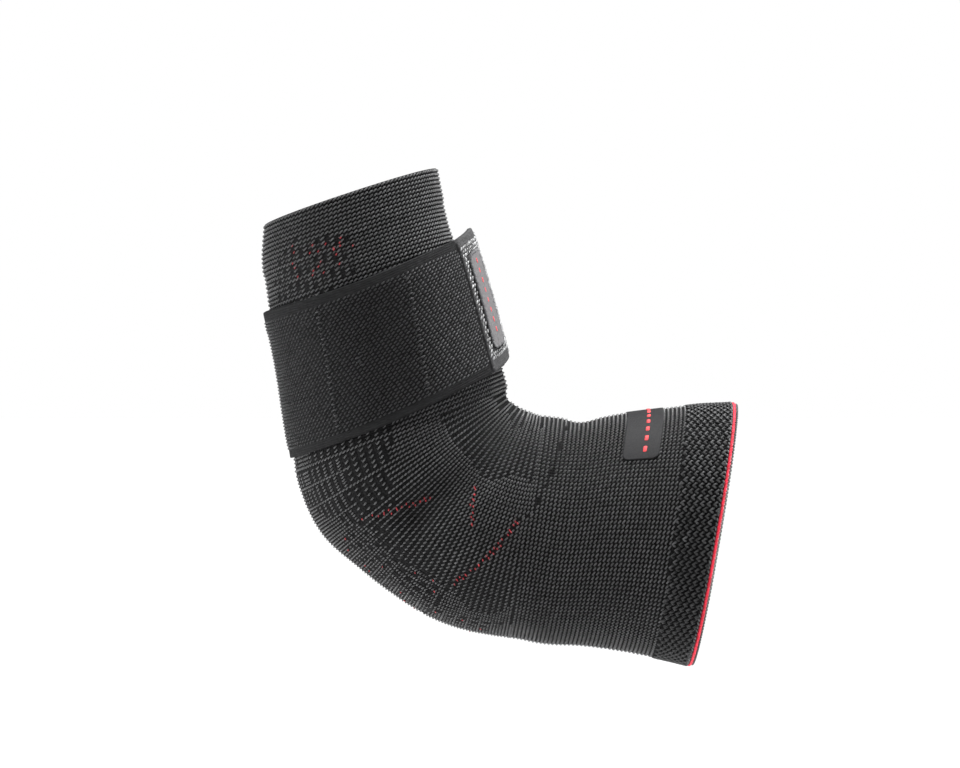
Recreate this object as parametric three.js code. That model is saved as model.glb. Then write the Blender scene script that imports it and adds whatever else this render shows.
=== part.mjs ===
// Elbow support: a knitted sleeve for a bent elbow, with an elastic strap wound round the forearm.
// Millimetres, +Z up. The origin is the elbow's centre, where the forearm's axis meets the upper arm's.
// +X runs along the upper arm, the forearm rises over the origin, and -Y is the arm's outer side.

import * as THREE from 'three';

// Arm path, from the elbow's centre to the middle of each opening
const forearmLength = 143.2;
const upperArmLength = 123;
const bendAngle = 77.5;
const bendRadius = 53.8;

// Sleeve girth: widths lie in the plane of the bend, depths across it
const forearmEndWidth = 76;
const elbowWidth = 96;
const upperEndWidth = 112;
const forearmEndDepth = 70;
const elbowDepth = 85;
const upperEndDepth = 97;
const sectionPower = 2.25;
const sleeveWall = 2;

// Clearance between two pieces that lie on each other
const layerGap = 0.3;

// Doubled cuff at the forearm opening
const cuffDepthAtCrook = 14;
const cuffDepthAtElbow = 20;
const cuffRise = 0.5;
const cuffRamp = 3;

// Upper arm hem: the opening dips at its sides, and two threads edge it
const hemDip = 0.4;
const hemDipReach = 60;
const redThread = 1.5;
const picotThread = 1.0;

// Strap: it starts under its own last turn and ends at the tab
const strapOffset = 31.9;
const strapWidth = 59.5;
const strapThickness = 1.8;
const selvedgeThickness = 1.3;
const selvedgeWidth = 5;
const strapStart = 60;
const strapTurn = 393;
const strapEndSkew = 9;
const strapSkewReach = 150;
const strapBow = 3.2;
const strapSlant = 1.6;
const strapFlare = 1.3;
const strapFlareReach = 14;
const lapRamp = 24;
const lapLead = 6;

// Tab: the stiff hooked end of the strap
const tabLength = 28;
const tabThickness = 2.4;
const tabCurl = 54;
const tabRise = 2;
const tabCorner = 2.5;
const tabTwist = 0.05;
const tabHooks = 0.3;

// Badges: blank moulded plates
const tabBadgeLength = 42;
const tabBadgeWidth = 14;
const tabBadgeThickness = 0.8;
const tabBadgeSetback = 4;
const sleeveBadgeLength = 60;
const sleeveBadgeWidth = 15;
const sleeveBadgeThickness = 0.8;
const sleeveBadgeFromHem = 39;
const sleeveBadgeAngle = 18;
const badgeCorner = 3;

// Folds and pads, as heights over the sleeve and reaches to each side
const crookFoldDepth = 3;
const crookFoldReach = 6.5;
const creaseDepth = 1;
const creaseReach = 5;
const elbowPadRise = 1.5;
const elbowPadReach = 6;
const sidePadRise = 1;
const sidePadReach = 6;

// Fineness of the faceted surfaces
const sleeveSides = 60;
const outerRowCounts = { cuff: 8, strap: 5, elbow: 20, upper: 12 };
const innerRowCounts = { upper: 3, elbow: 9, forearm: 4 };
const threadSides = 5;
const strapStepAngle = 6;
const plateColumns = 6;
const badgeColumns = 3;
const sleeveBadgeRows = 12;
const cornerTurns = [0, 30, 60, 90];

// Sections along the arm. stretch and along place a section on the path; lean tilts it, in degrees, from
// square to the path; inner, outer and depth are shares of the half girth at that place.
const sections = [
  { stretch: 'forearm', along: 0.00, lean: 5.8, inner: 1.010, outer: 0.974, depth: 1.00 },
  { stretch: 'forearm', along: 0.13, lean: 6.2, inner: 0.981, outer: 1.050, depth: 1.02 },
  { stretch: 'forearm', along: 0.27, lean: 6.8, inner: 0.966, outer: 1.062, depth: 1.04 },
  { stretch: 'forearm', along: 0.40, lean: 7.5, inner: 0.997, outer: 1.065, depth: 1.05 },
  { stretch: 'forearm', along: 0.60, lean: 8.5, inner: 1.028, outer: 1.050, depth: 1.04 },
  { stretch: 'forearm', along: 0.80, lean: 9.5, inner: 1.053, outer: 1.051, depth: 1.04 },
  { stretch: 'forearm', along: 0.95, lean: 10.0, inner: 1.070, outer: 1.046, depth: 1.03 },
  { stretch: 'bend', along: 0.05, lean: 9.2, inner: 1.058, outer: 1.050, depth: 1.02 },
  { stretch: 'bend', along: 0.22, lean: 6.5, inner: 1.040, outer: 1.034, depth: 1.01 },
  { stretch: 'bend', along: 0.40, lean: 3.0, inner: 1.053, outer: 0.940, depth: 1.00 },
  { stretch: 'bend', along: 0.50, lean: 1.0, inner: 1.054, outer: 0.915, depth: 1.00 },
  { stretch: 'bend', along: 0.75, lean: -3.0, inner: 1.031, outer: 0.908, depth: 0.99 },
  { stretch: 'upper', along: 0.00, lean: -9.0, inner: 0.968, outer: 0.893, depth: 0.98 },
  { stretch: 'upper', along: 0.20, lean: -10.0, inner: 0.920, outer: 0.928, depth: 0.98 },
  { stretch: 'upper', along: 0.40, lean: -10.0, inner: 0.949, outer: 0.924, depth: 0.99 },
  { stretch: 'upper', along: 0.60, lean: -10.0, inner: 0.968, outer: 0.944, depth: 0.99 },
  { stretch: 'upper', along: 0.80, lean: -9.8, inner: 0.980, outer: 0.980, depth: 1.00 },
  { stretch: 'upper', along: 1.00, lean: -9.7, inner: 0.975, outer: 1.027, depth: 1.00 },
];

// Lines that folds and pads follow on the sleeve, with the ring angle in degrees from the crook.
// Each is the same on both sides of the arm.
const crookFoldLine = [
  { stretch: 'bend', along: 0.17, angle: 19 },
  { stretch: 'bend', along: 0.46, angle: 50 },
  { stretch: 'bend', along: 0.46, angle: 80 },
  { stretch: 'bend', along: 0.42, angle: 106 },
];
const creaseLine = [
  { stretch: 'upper', along: 0.19, angle: 5 },
  { stretch: 'upper', along: 0.11, angle: 26 },
  { stretch: 'upper', along: 0.06, angle: 62 },
];
const elbowPadLine = [
  { stretch: 'bend', along: 0.54, angle: 145 },
  { stretch: 'bend', along: 0.70, angle: 147 },
];
const sidePadLine = [
  { stretch: 'bend', along: 0.73, angle: 110 },
  { stretch: 'bend', along: 0.90, angle: 109 },
  { stretch: 'upper', along: 0.02, angle: 120 },
  { stretch: 'upper', along: 0.07, angle: 140 },
];

const { degToRad, lerp, smoothstep } = THREE.MathUtils;
const fullTurn = 360;

// Arm path: straight forearm, round bend, straight upper arm
const bendTurn = degToRad(bendAngle);
const bendTangent = bendRadius * Math.tan(bendTurn / 2);
const forearmRun = forearmLength - bendTangent;
const bendRun = bendRadius * bendTurn;
const upperRun = upperArmLength - bendTangent;
const pathLength = forearmRun + bendRun + upperRun;
const sleeveLength = pathLength - redThread - picotThread - 2 * layerGap;
const elbowPlace = forearmRun + bendRun / 2;
const forearmSlope = Math.PI - bendTurn;

const stretches = {
  forearm: { start: 0, run: forearmRun },
  bend: { start: forearmRun, run: bendRun },
  upper: { start: forearmRun + bendRun, run: upperRun },
};

function placeOn({ stretch, along }) {
  return stretches[stretch].start + along * stretches[stretch].run;
}

// The path's point at a distance from the forearm opening, and the slope of the arm there
function armPath(place) {
  if (place < forearmRun) {
    const reach = forearmLength - place;
    return { x: reach * Math.cos(forearmSlope), z: reach * Math.sin(forearmSlope), slope: forearmSlope };
  }
  const turned = (place - forearmRun) / bendRadius;
  if (turned > bendTurn) {
    return { x: bendTangent + place - forearmRun - bendRun, z: 0, slope: Math.PI };
  }
  const slope = forearmSlope + turned;
  const x = bendTangent + bendRadius * Math.cos(slope + Math.PI / 2);
  const z = bendRadius + bendRadius * Math.sin(slope + Math.PI / 2);
  return { x, z, slope };
}

// Smooth reading of the section table
const columns = ['lean', 'inner', 'outer', 'depth'];
const knots = sections.map((row) => placeOn(row));

function columnSlope(column, index) {
  const last = knots.length - 1;
  const rise = (i) => (sections[i + 1][column] - sections[i][column]) / (knots[i + 1] - knots[i]);
  if (index === 0) {
    return rise(0);
  }
  if (index === last) {
    return rise(last - 1);
  }
  const before = knots[index] - knots[index - 1];
  const after = knots[index + 1] - knots[index];
  return lerp(rise(index - 1), rise(index), before / (before + after));
}

const slopes = sections.map((row, index) => {
  return Object.fromEntries(columns.map((column) => [column, columnSlope(column, index)]));
});

function sectionAt(place) {
  const held = Math.min(Math.max(place, 0), pathLength);
  let row = 0;
  while (row < knots.length - 2 && held > knots[row + 1]) {
    row += 1;
  }
  const step = knots[row + 1] - knots[row];
  const t = (held - knots[row]) / step;
  const rest = 1 - t;
  const read = (column) => {
    const from = sections[row][column] * (1 + 2 * t) * rest * rest;
    const to = sections[row + 1][column] * (3 - 2 * t) * t * t;
    const leave = slopes[row][column] * t * rest * rest * step;
    const arrive = slopes[row + 1][column] * t * t * rest * step;
    return from + to + leave - arrive;
  };
  return Object.fromEntries(columns.map((column) => [column, read(column)]));
}

function girthAt(place, forearmEnd, elbow, upperEnd) {
  if (place < elbowPlace) {
    return lerp(forearmEnd, elbow, place / elbowPlace);
  }
  return lerp(elbow, upperEnd, (place - elbowPlace) / (pathLength - elbowPlace));
}

// A point over the sleeve's smooth outer surface. angle is 0 at the crook, 90 on the outer side of the
// arm and 180 at the elbow's point; height is measured off the surface.
function surfacePoint(place, angle, height = 0) {
  const held = Math.min(Math.max(place, 0), pathLength);
  const path = armPath(place);
  const section = sectionAt(place);
  const halfWidth = girthAt(held, forearmEndWidth, elbowWidth, upperEndWidth) / 2;
  const halfDepth = girthAt(held, forearmEndDepth, elbowDepth, upperEndDepth) / 2;
  const middle = (section.inner - section.outer) * halfWidth / 2;
  const width = (section.inner + section.outer) * halfWidth / 2 + height;
  const depth = section.depth * halfDepth + height;
  const turn = degToRad(angle);
  const cos = Math.cos(turn);
  const sin = Math.sin(turn);
  const round = (Math.abs(cos) ** sectionPower + Math.abs(sin) ** sectionPower) ** (-1 / sectionPower);
  const towardsCrook = path.slope - Math.PI / 2 + degToRad(section.lean);
  const across = middle + width * round * cos;
  const dip = hemDip * sin * sin * smoothstep(place, pathLength - hemDipReach, pathLength);
  return new THREE.Vector3(
    path.x + across * Math.cos(towardsCrook) - dip,
    -depth * round * sin,
    path.z + across * Math.sin(towardsCrook),
  );
}

// Relief of the sleeve
function distanceToLine(point, line) {
  const nearest = new THREE.Vector3();
  const segment = new THREE.Line3();
  let distance = Infinity;
  for (let i = 0; i < line.length - 1; i += 1) {
    segment.set(line[i], line[i + 1]);
    segment.closestPointToPoint(point, true, nearest);
    distance = Math.min(distance, nearest.distanceTo(point));
  }
  return distance;
}

function bothSides(rows) {
  return [1, -1].map((side) => rows.map((row) => surfacePoint(placeOn(row), side * row.angle)));
}

const reliefs = [
  { lines: bothSides(crookFoldLine), rise: -crookFoldDepth, reach: crookFoldReach },
  { lines: bothSides(creaseLine), rise: -creaseDepth, reach: creaseReach },
  { lines: bothSides(elbowPadLine), rise: elbowPadRise, reach: elbowPadReach },
  { lines: bothSides(sidePadLine), rise: sidePadRise, reach: sidePadReach },
];

function reliefAt(place, angle) {
  const point = surfacePoint(place, angle);
  let height = 0;
  for (const { lines, rise, reach } of reliefs) {
    for (const line of lines) {
      const nearness = Math.max(0, 1 - distanceToLine(point, line) / (2 * reach));
      height += rise * smoothstep(nearness, 0, 1);
    }
  }
  const cuffEnd = lerp(cuffDepthAtCrook, cuffDepthAtElbow, (1 - Math.cos(degToRad(angle))) / 2);
  height += cuffRise * (1 - smoothstep(place, cuffEnd - cuffRamp / 2, cuffEnd + cuffRamp / 2));
  return height;
}

// Meshes
function facingOut(vertices, triangles) {
  const [a, b, c] = [new THREE.Vector3(), new THREE.Vector3(), new THREE.Vector3()];
  let volume = 0;
  for (const [i, j, k] of triangles) {
    a.copy(vertices[i]);
    b.copy(vertices[j]);
    c.copy(vertices[k]);
    volume += a.dot(b.cross(c));
  }
  return volume > 0 ? triangles : triangles.map(([i, j, k]) => [i, k, j]);
}

function solid(name, vertices, triangles, color, roughness) {
  const geometry = new THREE.BufferGeometry();
  geometry.setFromPoints(vertices);
  geometry.setIndex(facingOut(vertices, triangles).flat());
  geometry.computeVertexNormals();
  const mesh = new THREE.Mesh(geometry, new THREE.MeshStandardMaterial({ color, roughness, metalness: 0 }));
  mesh.name = name;
  return mesh;
}

// A ring round the arm: rows run round a closed profile, columns round the arm
function ringMesh(rows, columnCount, pointAt) {
  const vertices = [];
  const triangles = [];
  const index = (i, j) => (i % rows) * columnCount + (j % columnCount);
  for (let i = 0; i < rows; i += 1) {
    for (let j = 0; j < columnCount; j += 1) {
      vertices.push(pointAt(i, fullTurn * j / columnCount));
      triangles.push([index(i, j), index(i + 1, j), index(i + 1, j + 1)]);
      triangles.push([index(i, j), index(i + 1, j + 1), index(i, j + 1)]);
    }
  }
  return [vertices, triangles];
}

// A closed sheet: pointAt(i, j, side) gives its upper face at side 1 and its lower face at side 0
function sheetMesh(rows, columnCount, pointAt) {
  const vertices = [];
  const triangles = [];
  const index = (i, j, side) => (side * (rows + 1) + i) * (columnCount + 1) + j;
  const quad = (a, b, c, d) => triangles.push([a, b, c], [a, c, d]);
  for (const side of [0, 1]) {
    for (let i = 0; i <= rows; i += 1) {
      for (let j = 0; j <= columnCount; j += 1) {
        vertices.push(pointAt(i, j, side));
      }
    }
  }
  for (let i = 0; i < rows; i += 1) {
    for (let j = 0; j < columnCount; j += 1) {
      quad(index(i, j, 1), index(i + 1, j, 1), index(i + 1, j + 1, 1), index(i, j + 1, 1));
      quad(index(i, j, 0), index(i, j + 1, 0), index(i + 1, j + 1, 0), index(i + 1, j, 0));
    }
    quad(index(i, 0, 0), index(i + 1, 0, 0), index(i + 1, 0, 1), index(i, 0, 1));
    quad(index(i, columnCount, 1), index(i + 1, columnCount, 1),
      index(i + 1, columnCount, 0), index(i, columnCount, 0));
  }
  for (let j = 0; j < columnCount; j += 1) {
    quad(index(0, j, 1), index(0, j + 1, 1), index(0, j + 1, 0), index(0, j, 0));
    quad(index(rows, j, 0), index(rows, j + 1, 0), index(rows, j + 1, 1), index(rows, j, 1));
  }
  return [vertices, triangles];
}

// Shares along a rounded rectangle, with extra rows in its corners, and its half width at each
function roundedRows(length, width, corner, middleRows) {
  const rows = [];
  for (const turn of cornerTurns) {
    const back = corner * (1 - Math.sin(degToRad(turn)));
    rows.push({ at: corner * (1 - Math.cos(degToRad(turn))), half: width / 2 - back });
  }
  for (let i = 1; i < middleRows; i += 1) {
    rows.push({ at: lerp(corner, length - corner, i / middleRows), half: width / 2 });
  }
  const firstCorner = rows.slice(0, cornerTurns.length);
  for (const { at, half } of firstCorner.reverse()) {
    rows.push({ at: length - at, half });
  }
  return rows;
}

// Sleeve: rows run down its outer face and back up its inner face
function sleeve() {
  const spread = (from, to, count) => {
    return Array.from({ length: count }, (_, i) => lerp(from, to, i / count));
  };
  const outerRows = [
    ...spread(0, strapOffset, outerRowCounts.cuff),
    ...spread(strapOffset, strapOffset + strapWidth, outerRowCounts.strap),
    ...spread(strapOffset + strapWidth, forearmRun + bendRun, outerRowCounts.elbow),
    ...spread(forearmRun + bendRun, sleeveLength, outerRowCounts.upper),
    sleeveLength,
  ];
  const innerRows = [
    ...spread(sleeveLength, forearmRun + bendRun, innerRowCounts.upper),
    ...spread(forearmRun + bendRun, forearmRun, innerRowCounts.elbow),
    ...spread(forearmRun, 0, innerRowCounts.forearm),
    0,
  ];
  const profile = [
    ...outerRows.map((place) => ({ place, height: 0 })),
    ...innerRows.map((place) => ({ place, height: -sleeveWall })),
  ];
  const pointAt = (i, angle) => {
    const { place, height } = profile[i];
    return surfacePoint(place, angle, height + reliefAt(place, angle));
  };
  return solid('knit_sleeve', ...ringMesh(profile.length, sleeveSides, pointAt), 0x33373a, 0.9);
}

// A thread along the upper arm's opening, centred on the sleeve's wall
function hemThread(name, thickness, offset, color) {
  const pointAt = (i, angle) => {
    const turn = 2 * Math.PI * i / threadSides;
    const place = sleeveLength + offset + thickness / 2 * (1 + Math.cos(turn));
    return surfacePoint(place, angle, thickness / 2 * Math.sin(turn) - sleeveWall / 2);
  };
  return solid(name, ...ringMesh(threadSides, sleeveSides, pointAt), color, 0.7);
}

// Strap: one and a bit turns, the last part lapped over the first. It bows and slants towards the elbow,
// and its upper edge flares off the narrower forearm. On the tapering arm its end comes to lie askew, so
// the lower edge stops short of the upper one.
const lapHeight = strapThickness + layerGap;

function strapHeight(turned) {
  const rampEnd = fullTurn - lapLead;
  return layerGap + lapHeight * smoothstep(turned, rampEnd - lapRamp, rampEnd);
}

function strapAngle(turned, at) {
  const skew = strapEndSkew * smoothstep(turned, strapTurn - strapSkewReach, strapTurn);
  return strapStart - turned + skew * at / strapWidth;
}

function strapPoint(angle, at, height) {
  const turn = degToRad(angle);
  const towardsElbow = (1 - Math.cos(turn)) / 2;
  const place = strapOffset + at + strapBow * Math.sin(turn) ** 2 + strapSlant * towardsElbow;
  const flare = strapFlare * towardsElbow * (1 - smoothstep(at, 0, strapFlareReach));
  return surfacePoint(place, angle, height + flare);
}

const strapAcross = [
  { at: 0, thickness: selvedgeThickness },
  { at: selvedgeWidth, thickness: selvedgeThickness },
  { at: selvedgeWidth + strapThickness, thickness: strapThickness },
  { at: strapWidth * 0.37, thickness: strapThickness },
  { at: strapWidth * 0.63, thickness: strapThickness },
  { at: strapWidth - selvedgeWidth - strapThickness, thickness: strapThickness },
  { at: strapWidth - selvedgeWidth, thickness: selvedgeThickness },
  { at: strapWidth, thickness: selvedgeThickness },
];

function strap() {
  const rows = Math.round(strapTurn / strapStepAngle);
  const pointAt = (i, j, side) => {
    const turned = strapTurn * i / rows;
    const { at, thickness } = strapAcross[j];
    return strapPoint(strapAngle(turned, at), at, strapHeight(turned) + side * thickness);
  };
  return solid('strap_band', ...sheetMesh(rows, strapAcross.length - 1, pointAt), 0x17181a, 0.95);
}

// Tab: it leaves the strap's end on the middle's tangent, twisted a share of the way to each edge's own,
// and curls a little back towards the arm. Its hooks hold it off the strap's first turn.
const tabUnder = layerGap + lapHeight + tabHooks;

function strapEndPoint(at, height = 0, further = 0) {
  return strapPoint(strapAngle(strapTurn, at) - further, at, height);
}

function strapEndTangent(at) {
  return strapEndPoint(at, tabUnder, 1).sub(strapEndPoint(at, tabUnder, -1)).normalize();
}

function tabPoint(run, at, height) {
  const along = strapEndTangent(strapWidth / 2).lerp(strapEndTangent(at), tabTwist).normalize();
  const down = strapEndPoint(strapWidth).sub(strapEndPoint(0)).normalize();
  const out = new THREE.Vector3().crossVectors(down, along).normalize();
  const distance = run + layerGap;
  const drop = distance * distance / (2 * tabCurl);
  return strapEndPoint(at, tabUnder)
    .addScaledVector(along, distance)
    .addScaledVector(down, -tabRise * run / tabLength)
    .addScaledVector(out, height - drop);
}

function tab() {
  const free = roundedRows(tabLength, strapWidth, tabCorner, plateColumns).slice(cornerTurns.length);
  const rows = [{ at: 0, half: strapWidth / 2 }, ...free];
  const pointAt = (i, j, side) => {
    const { at, half } = rows[i];
    return tabPoint(at, strapWidth / 2 + half * (2 * j / plateColumns - 1), side * tabThickness);
  };
  return solid('strap_tab', ...sheetMesh(rows.length - 1, plateColumns, pointAt), 0x202224, 0.9);
}

function tabBadge() {
  const rows = roundedRows(tabBadgeWidth, tabBadgeLength, badgeCorner, badgeColumns);
  const pointAt = (i, j, side) => {
    const { at, half } = rows[i];
    const height = tabThickness + layerGap + side * tabBadgeThickness;
    return tabPoint(tabBadgeSetback + at, strapWidth / 2 + half * (2 * j / plateColumns - 1), height);
  };
  return solid('tab_badge', ...sheetMesh(rows.length - 1, plateColumns, pointAt), 0x6e7072, 0.45);
}

// Sleeve badge: a blank moulded strip bent round the upper arm
function sleeveBadge() {
  const place = pathLength - sleeveBadgeFromHem;
  const perDegree = surfacePoint(place, sleeveBadgeAngle + 1).distanceTo(surfacePoint(place, sleeveBadgeAngle));
  const rows = roundedRows(sleeveBadgeLength, sleeveBadgeWidth, badgeCorner, sleeveBadgeRows);
  const pointAt = (i, j, side) => {
    const { at, half } = rows[i];
    const angle = sleeveBadgeAngle + (at - sleeveBadgeLength / 2) / perDegree;
    const across = half * (2 * j / badgeColumns - 1);
    return surfacePoint(place + across, angle, layerGap + side * sleeveBadgeThickness);
  };
  return solid('sleeve_badge', ...sheetMesh(rows.length - 1, badgeColumns, pointAt), 0x2a2b2d, 0.5);
}

const elbowSupport = new THREE.Group();
elbowSupport.add(
  sleeve(),
  hemThread('red_edge', redThread, layerGap, 0xc81e38),
  hemThread('picot_edge', picotThread, redThread + 2 * layerGap, 0x1c1d1f),
  strap(),
  tab(),
  tabBadge(),
  sleeveBadge(),
);

export default elbowSupport;
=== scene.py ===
# Elbow support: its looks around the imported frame. Sizes are in millimetres and repeat the part's source;
# a mesh is turned into metres when it is made.

import math

import bpy
import numpy as np
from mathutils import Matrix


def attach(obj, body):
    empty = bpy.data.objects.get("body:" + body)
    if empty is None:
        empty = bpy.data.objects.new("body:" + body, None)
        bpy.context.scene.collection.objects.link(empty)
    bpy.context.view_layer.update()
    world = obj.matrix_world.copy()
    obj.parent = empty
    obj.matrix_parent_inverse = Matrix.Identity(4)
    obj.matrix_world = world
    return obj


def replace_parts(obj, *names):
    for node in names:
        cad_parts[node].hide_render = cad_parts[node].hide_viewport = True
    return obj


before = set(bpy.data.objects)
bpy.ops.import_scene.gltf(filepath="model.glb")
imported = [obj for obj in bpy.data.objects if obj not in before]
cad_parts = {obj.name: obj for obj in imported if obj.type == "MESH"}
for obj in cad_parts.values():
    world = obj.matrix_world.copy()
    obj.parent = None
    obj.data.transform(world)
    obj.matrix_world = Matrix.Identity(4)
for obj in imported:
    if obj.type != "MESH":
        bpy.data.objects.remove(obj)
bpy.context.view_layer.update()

MILLIMETRE = 0.001
RING_SAMPLES = 721

# Camera, at the photograph's viewing angle
CAMERA_X, CAMERA_Z, CAMERA_DISTANCE = 0.0239, 0.0617, 1.5
camera_data = bpy.data.cameras.new("camera")
camera_data.lens = 134
camera_data.sensor_width = 36
camera = bpy.data.objects.new("camera", camera_data)
camera.location = (CAMERA_X, -CAMERA_DISTANCE, CAMERA_Z)
camera.rotation_euler = (math.pi / 2, 0, 0)
bpy.context.scene.collection.objects.link(camera)
bpy.context.scene.camera = camera

# Sizes that the part's source names
FOREARM_LENGTH, UPPER_ARM_LENGTH = 143.2, 123.0
BEND_TURN, BEND_RADIUS = math.radians(77.5), 53.8
HALF_WIDTHS, HALF_DEPTHS = (38.0, 48.0, 56.0), (35.0, 42.5, 48.5)
SECTION_POWER, SLEEVE_WALL, LAYER_GAP = 2.25, 2.0, 0.3
CUFF_DEPTHS, CUFF_RISE, CUFF_RAMP = (14.0, 20.0), 0.5, 3.0
HEM_DIP, HEM_DIP_REACH, RED_THREAD, PICOT_THREAD = 0.4, 60.0, 1.5, 1.0
STRAP_OFFSET, STRAP_WIDTH, STRAP_THICKNESS = 31.9, 59.5, 1.8
SELVEDGE_THICKNESS, SELVEDGE_WIDTH = 1.3, 5.0
STRAP_START, STRAP_TURN, STRAP_END_SKEW, STRAP_SKEW_REACH = 60.0, 393.0, 9.0, 150.0
STRAP_BOW, STRAP_SLANT, STRAP_FLARE, STRAP_FLARE_REACH = 3.2, 1.6, 1.3, 14.0
LAP_RAMP, LAP_LEAD = 24.0, 6.0
TAB_LENGTH, TAB_THICKNESS, TAB_CURL, TAB_RISE = 28.0, 2.4, 54.0, 2.0
TAB_CORNER, TAB_TWIST, TAB_HOOKS = 2.5, 0.05, 0.3
TAB_BADGE = {"length": 42.0, "width": 14.0, "thickness": 0.8, "setback": 4.0}
SLEEVE_BADGE = {"length": 60.0, "width": 15.0, "thickness": 0.8, "from_hem": 39.0, "angle": 18.0}
BADGE_CORNER = 3.0

BEND_TANGENT = BEND_RADIUS * math.tan(BEND_TURN / 2)
FOREARM_RUN = FOREARM_LENGTH - BEND_TANGENT
BEND_RUN = BEND_RADIUS * BEND_TURN
UPPER_RUN = UPPER_ARM_LENGTH - BEND_TANGENT
PATH_LENGTH = FOREARM_RUN + BEND_RUN + UPPER_RUN
SLEEVE_LENGTH = PATH_LENGTH - RED_THREAD - PICOT_THREAD - 2 * LAYER_GAP
ELBOW_PLACE = FOREARM_RUN + BEND_RUN / 2
FOREARM_SLOPE = math.pi - BEND_TURN
STRETCHES = {"forearm": (0.0, FOREARM_RUN), "bend": (FOREARM_RUN, BEND_RUN),
             "upper": (FOREARM_RUN + BEND_RUN, UPPER_RUN)}

# Sections along the arm: stretch, share along it, lean in degrees, and shares of the half girth towards
# the crook, away from it and across
SECTIONS = [
    ("forearm", 0.00, 5.8, 1.010, 0.974, 1.00), ("forearm", 0.13, 6.2, 0.981, 1.050, 1.02),
    ("forearm", 0.27, 6.8, 0.966, 1.062, 1.04), ("forearm", 0.40, 7.5, 0.997, 1.065, 1.05),
    ("forearm", 0.60, 8.5, 1.028, 1.050, 1.04), ("forearm", 0.80, 9.5, 1.053, 1.051, 1.04),
    ("forearm", 0.95, 10.0, 1.070, 1.046, 1.03), ("bend", 0.05, 9.2, 1.058, 1.050, 1.02),
    ("bend", 0.22, 6.5, 1.040, 1.034, 1.01), ("bend", 0.40, 3.0, 1.053, 0.940, 1.00),
    ("bend", 0.50, 1.0, 1.054, 0.915, 1.00), ("bend", 0.75, -3.0, 1.031, 0.908, 0.99),
    ("upper", 0.00, -9.0, 0.968, 0.893, 0.98), ("upper", 0.20, -10.0, 0.920, 0.928, 0.98),
    ("upper", 0.40, -10.0, 0.949, 0.924, 0.99), ("upper", 0.60, -10.0, 0.968, 0.944, 0.99),
    ("upper", 0.80, -9.8, 0.980, 0.980, 1.00), ("upper", 1.00, -9.7, 0.975, 1.027, 1.00),
]

# Folds and pads: rise, reach and the line that each follows as stretch, share along it and ring angle
RELIEFS = [
    (-3.0, 6.5, [("bend", 0.17, 19), ("bend", 0.46, 50), ("bend", 0.46, 80), ("bend", 0.42, 106)]),
    (-1.0, 5.0, [("upper", 0.19, 5), ("upper", 0.11, 26), ("upper", 0.06, 62)]),
    (1.5, 6.0, [("bend", 0.54, 145), ("bend", 0.70, 147)]),
    (1.0, 6.0, [("bend", 0.73, 110), ("bend", 0.90, 109), ("upper", 0.02, 120), ("upper", 0.07, 140)]),
]


def place_on(stretch, along):
    start, run = STRETCHES[stretch]
    return start + along * run


def smoothstep(value, low, high):
    share = np.clip((value - low) / (high - low), 0, 1)
    return share * share * (3 - 2 * share)


KNOTS = np.array([place_on(row[0], row[1]) for row in SECTIONS])
VALUES = np.array([row[2:] for row in SECTIONS])
STEPS = np.diff(KNOTS)
RISES = np.diff(VALUES, axis=0) / STEPS[:, None]
WEIGHTS = (STEPS[:-1] / (STEPS[:-1] + STEPS[1:]))[:, None]
SLOPES = np.vstack([RISES[:1], RISES[:-1] * (1 - WEIGHTS) + RISES[1:] * WEIGHTS, RISES[-1:]])


def section_at(place):
    row = np.clip(np.searchsorted(KNOTS, place, side="right") - 1, 0, len(KNOTS) - 2)
    step = STEPS[row][..., None]
    t = (place[..., None] - KNOTS[row][..., None]) / step
    rest = 1 - t
    value = (VALUES[row] * (1 + 2 * t) * rest ** 2 + VALUES[row + 1] * (3 - 2 * t) * t ** 2
             + SLOPES[row] * t * rest ** 2 * step - SLOPES[row + 1] * t ** 2 * rest * step)
    return np.moveaxis(value, -1, 0)


def arm_path(place):
    slope = FOREARM_SLOPE + np.clip((place - FOREARM_RUN) / BEND_RADIUS, 0, BEND_TURN)
    before = np.maximum(FOREARM_RUN - place, 0)
    after = np.maximum(place - FOREARM_RUN - BEND_RUN, 0)
    x = BEND_TANGENT - BEND_RADIUS * np.sin(slope) + before * math.cos(FOREARM_SLOPE) + after
    z = BEND_RADIUS + BEND_RADIUS * np.cos(slope) + before * math.sin(FOREARM_SLOPE)
    return x, z, slope


def surface(place, angle, height=0.0):
    """A point over the smooth sleeve. angle is 0 at the crook, 90 on the outer side, 180 at the elbow."""
    place, angle, height = np.broadcast_arrays(*(np.asarray(v, float) for v in (place, angle, height)))
    held = np.clip(place, 0, PATH_LENGTH)
    x, z, slope = arm_path(place)
    lean, inner, outer, depth = section_at(held)
    stops = (0, ELBOW_PLACE, PATH_LENGTH)
    half_width = np.interp(held, stops, HALF_WIDTHS)
    half_depth = np.interp(held, stops, HALF_DEPTHS)
    cos, sin = np.cos(np.radians(angle)), np.sin(np.radians(angle))
    round_off = (np.abs(cos) ** SECTION_POWER + np.abs(sin) ** SECTION_POWER) ** (-1 / SECTION_POWER)
    across = (inner - outer) * half_width / 2
    across = across + ((inner + outer) * half_width / 2 + height) * round_off * cos
    towards_crook = slope - math.pi / 2 + np.radians(lean)
    dip = HEM_DIP * sin ** 2 * smoothstep(place, PATH_LENGTH - HEM_DIP_REACH, PATH_LENGTH)
    return np.stack([x + across * np.cos(towards_crook) - dip,
                     -(depth * half_depth + height) * round_off * sin,
                     z + across * np.sin(towards_crook)], axis=-1)


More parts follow.
